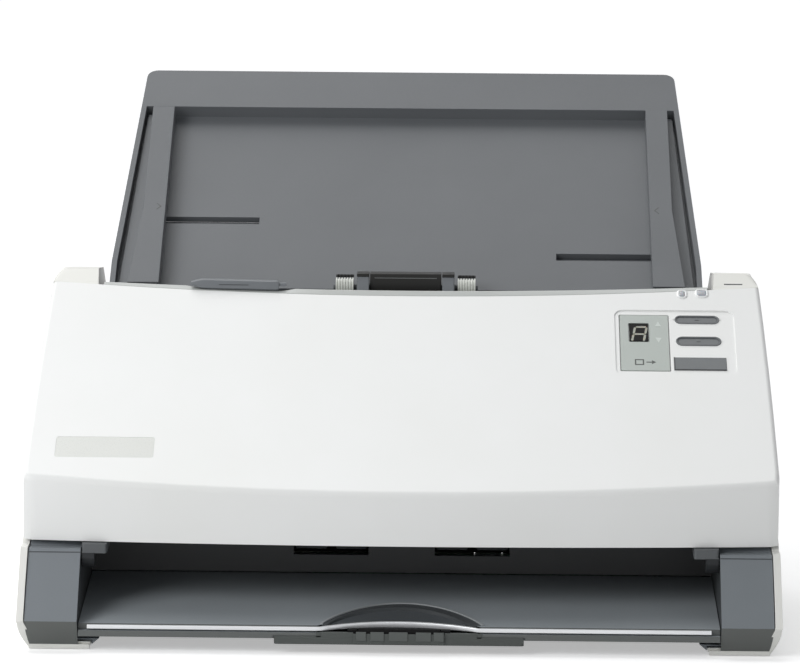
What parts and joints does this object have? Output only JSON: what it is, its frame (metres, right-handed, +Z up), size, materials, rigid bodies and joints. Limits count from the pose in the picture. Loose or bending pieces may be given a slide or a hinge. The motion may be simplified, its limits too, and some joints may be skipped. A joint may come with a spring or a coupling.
{
  "type": "document scanner",
  "caption": "Desktop sheet-fed document scanner: hinged front cover with keys, leaning paper chute with side guides, output bay with drawer and stop, geared feed rollers.",
  "frame": {"origin": "middle of the part's box on the plane its feet stand on", "axes": "+X to the right seen from the front, +Y to the rear, +Z up; the front faces -Y"},
  "size_m": [0.3186, 0.282, 0.22],
  "materials": {
    "white_plastic": "fine moulded texture, satin white",
    "strip_plastic": "light grey-white moulding",
    "dark_plastic": "dark grey moulding, fine grain",
    "bay_plastic": "blue-grey moulding",
    "black_plastic": "black moulding",
    "grey_plastic": "mid-grey moulding, fine grain",
    "key_plastic": "smooth mid-grey",
    "lever_plastic": "smooth blue-grey",
    "trim_metal": "satin silver",
    "display_plate": "satin grey-green",
    "display_window": "smoked window",
    "sensor_glass": "clear glass strip",
    "light_pipe": "milky light pipe",
    "foot_rubber": "black rubber",
    "tyre_rubber": "ground grey rubber",
    "steel": "ground bar",
    "gear_plastic": "natural white acetal",
    "circuit_board": "green solder mask",
    "motor_metal": "dark plated can"
  },
  "bodies": {
    "base": {"bottom_housing": "dark_plastic", "foot_front_left": "foot_rubber", "foot_front_right": "foot_rubber", "foot_rear_left": "foot_rubber", "foot_rear_right": "foot_rubber", "left_pillar": "dark_plastic", "right_pillar": "dark_plastic", "left_side_panel": "white_plastic", "right_side_panel": "white_plastic", "rear_cover": "white_plastic", "lower_paper_guide": "bay_plastic", "lower_image_sensor": "black_plastic", "lower_sensor_glass": "sensor_glass", "main_board": "circuit_board", "usb_socket": "trim_metal", "power_socket": "black_plastic", "drive_motor": "motor_metal", "output_floor": "bay_plastic", "output_trim": "trim_metal"},
    "pick_roller": {"pick_shaft": "steel", "pick_tyre": "tyre_rubber", "pick_gear": "gear_plastic"},
    "feed_roller": {"feed_shaft": "steel", "feed_tyre": "tyre_rubber", "feed_gear": "gear_plastic"},
    "exit_roller": {"exit_shaft": "steel", "exit_tyre_left": "tyre_rubber", "exit_tyre_right": "tyre_rubber", "exit_gear": "gear_plastic"},
    "upper_idler": {"upper_idler_gear": "gear_plastic"},
    "lower_idler": {"lower_idler_gear": "gear_plastic"},
    "pinion": {"motor_pinion": "gear_plastic"},
    "front_cover": {"cover_shell": "white_plastic", "cover_inner_guide": "bay_plastic", "slot_strip": "strip_plastic", "upper_image_sensor": "black_plastic", "upper_sensor_glass": "sensor_glass", "display_plate": "display_plate", "display_window": "display_window", "narrow_status_light": "light_pipe", "wide_status_light": "light_pipe", "left_hinge_arm": "bay_plastic", "right_hinge_arm": "bay_plastic", "pad_bracket": "key_plastic"},
    "up_key": {"up_key": "key_plastic"},
    "down_key": {"down_key": "key_plastic"},
    "scan_key": {"scan_key": "key_plastic"},
    "latch": {"latch_bar": "steel", "release_lever": "lever_plastic"},
    "pad": {"pad_holder": "black_plastic", "separation_pad": "foot_rubber"},
    "left_wheel": {"left_ribbed_wheel": "strip_plastic"},
    "right_wheel": {"right_ribbed_wheel": "strip_plastic"},
    "drawer": {"output_drawer": "dark_plastic"},
    "stop": {"paper_stop": "grey_plastic"},
    "chute": {"chute": "grey_plastic"},
    "extension": {"chute_extension": "grey_plastic"},
    "left_guide": {"left_side_guide": "grey_plastic"},
    "right_guide": {"right_side_guide": "grey_plastic"},
    "guide_pinion": {"guide_pinion": "gear_plastic"}
  },
  "joints": [
    {"name": "front_cover_hinge", "type": "hinge", "parent": "base", "child": "front_cover", "pos_m": [0, -0.11599, 0.036], "axis": [1, 0, 0], "range_deg": [0, 80]},
    {"name": "feed_spin", "type": "hinge", "parent": "base", "child": "feed_roller", "pos_m": [0, -0.02841, 0.08818], "axis": [1, 0, 0], "continuous": true},
    {"name": "pick_spin", "type": "hinge", "parent": "base", "child": "pick_roller", "pos_m": [0, 0.00546, 0.1171], "axis": [1, 0, 0], "continuous": true},
    {"name": "exit_spin", "type": "hinge", "parent": "base", "child": "exit_roller", "pos_m": [0, -0.05733, 0.0372], "axis": [1, 0, 0], "continuous": true},
    {"name": "upper_idler_spin", "type": "hinge", "parent": "base", "child": "upper_idler", "pos_m": [0, -0.0062, 0.09727], "axis": [1, 0, 0], "continuous": true},
    {"name": "lower_idler_spin", "type": "hinge", "parent": "base", "child": "lower_idler", "pos_m": [0, -0.0317, 0.05635], "axis": [1, 0, 0], "continuous": true},
    {"name": "pinion_spin", "type": "hinge", "parent": "base", "child": "pinion", "pos_m": [0, -0.00876, 0.04029], "axis": [1, 0, 0], "continuous": true},
    {"name": "up_key_press", "type": "slide", "parent": "front_cover", "child": "up_key", "axis": [0, 0.5299, -0.848], "range_m": [0, 0.0009], "stiffness_N_per_m": 400},
    {"name": "down_key_press", "type": "slide", "parent": "front_cover", "child": "down_key", "axis": [0, 0.5299, -0.848], "range_m": [0, 0.0009], "stiffness_N_per_m": 400},
    {"name": "scan_key_press", "type": "slide", "parent": "front_cover", "child": "scan_key", "axis": [0, 0.5299, -0.848], "range_m": [0, 0.0009], "stiffness_N_per_m": 400},
    {"name": "latch_turn", "type": "hinge", "parent": "front_cover", "child": "latch", "pos_m": [0, -0.02369, 0.11755], "axis": [1, 0, 0], "range_deg": [0, 6.5], "stiffness_Nm_per_rad": 0.4},
    {"name": "pad_swing", "type": "hinge", "parent": "front_cover", "child": "pad", "pos_m": [0, 0.00201, 0.1355], "axis": [1, 0, 0], "range_deg": [0, 8], "stiffness_Nm_per_rad": 0.05},
    {"name": "left_wheel_spin", "type": "hinge", "parent": "front_cover", "child": "left_wheel", "pos_m": [0, 0.00201, 0.1355], "axis": [1, 0, 0], "continuous": true},
    {"name": "right_wheel_spin", "type": "hinge", "parent": "front_cover", "child": "right_wheel", "pos_m": [0, 0.00201, 0.1355], "axis": [1, 0, 0], "continuous": true},
    {"name": "drawer_slide", "type": "slide", "parent": "base", "child": "drawer", "axis": [0, -1, 0], "range_m": [0, 0.05]},
    {"name": "stop_flip", "type": "hinge", "parent": "drawer", "child": "stop", "pos_m": [0, -0.13669, 0.0089], "axis": [1, 0, 0], "range_deg": [0, 90]},
    {"name": "chute_lift", "type": "slide", "parent": "base", "child": "chute", "axis": [0, 0, 1], "range_m": [0, 0.03]},
    {"name": "extension_slide", "type": "slide", "parent": "chute", "child": "extension", "axis": [0, 0.848, 0.5299], "range_m": [0, 0.07]},
    {"name": "left_guide_slide", "type": "slide", "parent": "chute", "child": "left_guide", "axis": [1, 0, 0], "range_m": [0, 0.05]},
    {"name": "right_guide_slide", "type": "slide", "parent": "chute", "child": "right_guide", "axis": [-1, 0, 0], "range_m": [0, 0.05]},
    {"name": "guide_pinion_turn", "type": "hinge", "parent": "chute", "child": "guide_pinion", "pos_m": [0, 0.04244, 0.14856], "axis": [0, 0.5299, -0.848], "range_deg": [0, 360]}
  ],
  "couplings": [
    {"joint": "upper_idler_spin", "follows": "feed_spin", "ratio": -0.71429},
    {"joint": "pick_spin", "follows": "feed_spin", "ratio": 1.1111},
    {"joint": "lower_idler_spin", "follows": "feed_spin", "ratio": -0.45454},
    {"joint": "exit_spin", "follows": "feed_spin", "ratio": 1},
    {"joint": "pinion_spin", "follows": "feed_spin", "ratio": 1.6667},
    {"joint": "right_guide_slide", "follows": "left_guide_slide", "ratio": 1},
    {"joint": "guide_pinion_turn", "follows": "left_guide_slide", "rad_per_m": 125}
  ]
}
